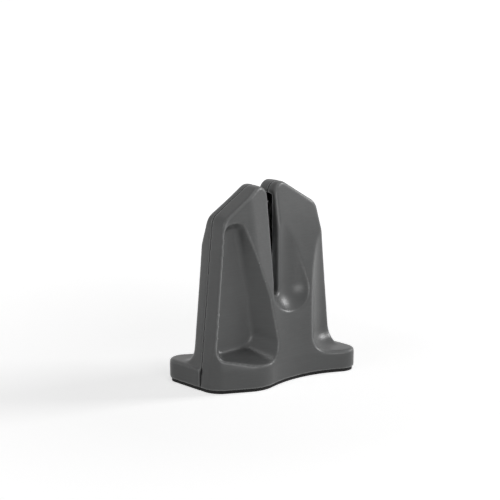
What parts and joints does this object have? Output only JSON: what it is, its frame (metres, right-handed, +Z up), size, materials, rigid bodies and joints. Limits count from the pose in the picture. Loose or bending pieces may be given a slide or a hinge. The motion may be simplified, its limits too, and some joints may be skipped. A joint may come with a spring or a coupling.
{
  "type": "manual knife sharpener",
  "caption": "Bench knife sharpener: a waisted grey body of two moulded half-shells with hollow towers, a blade slot between them and crossed spring-returned sharpening arms inside.",
  "frame": {"origin": "centre of the footprint on the surface that the sharpener stands on", "axes": "+Z up, X from end to end, Y along the blade's stroke with the front half at -Y"},
  "size_m": [0.0894, 0.053, 0.1032],
  "materials": {
    "shell_plastic": "satin",
    "base_plastic": "matte",
    "sole_rubber": "matte",
    "arm_steel": "brushed",
    "carbide": "ground",
    "bush_brass": "turned",
    "pin_steel": "satin",
    "stop_rubber": "matte",
    "spring_steel": "satin",
    "screw_steel": "satin"
  },
  "bodies": {
    "body": {"front_shell": "shell_plastic", "rear_shell": "shell_plastic", "base_plate": "base_plastic", "non_slip_sole": "sole_rubber", "shell_screws": "screw_steel", "base_screws": "screw_steel", "left_arm_pin": "pin_steel", "left_pin_clip": "pin_steel", "left_rest_stop": "stop_rubber", "left_end_stop": "stop_rubber", "left_arm_spring": "spring_steel", "right_arm_pin": "pin_steel", "right_pin_clip": "pin_steel", "right_rest_stop": "stop_rubber", "right_end_stop": "stop_rubber", "right_arm_spring": "spring_steel"},
    "left_arm": {"left_arm": "arm_steel", "left_arm_carbide": "carbide", "left_arm_bush": "bush_brass"},
    "right_arm": {"right_arm": "arm_steel", "right_arm_carbide": "carbide", "right_arm_bush": "bush_brass"}
  },
  "joints": [
    {"name": "left_arm_pivot", "type": "hinge", "parent": "body", "child": "left_arm", "pos_m": [0.0114, -0.0016, 0.025], "axis": [0, -1, 0], "range_deg": [0, 10], "stiffness_Nm_per_rad": 2, "springref_deg": -5.73, "deforming": ["left_arm_spring"]},
    {"name": "right_arm_pivot", "type": "hinge", "parent": "body", "child": "right_arm", "pos_m": [-0.0114, 0.0016, 0.025], "axis": [0, 1, 0], "range_deg": [0, 10], "stiffness_Nm_per_rad": 2, "springref_deg": -5.73, "deforming": ["right_arm_spring"]}
  ]
}
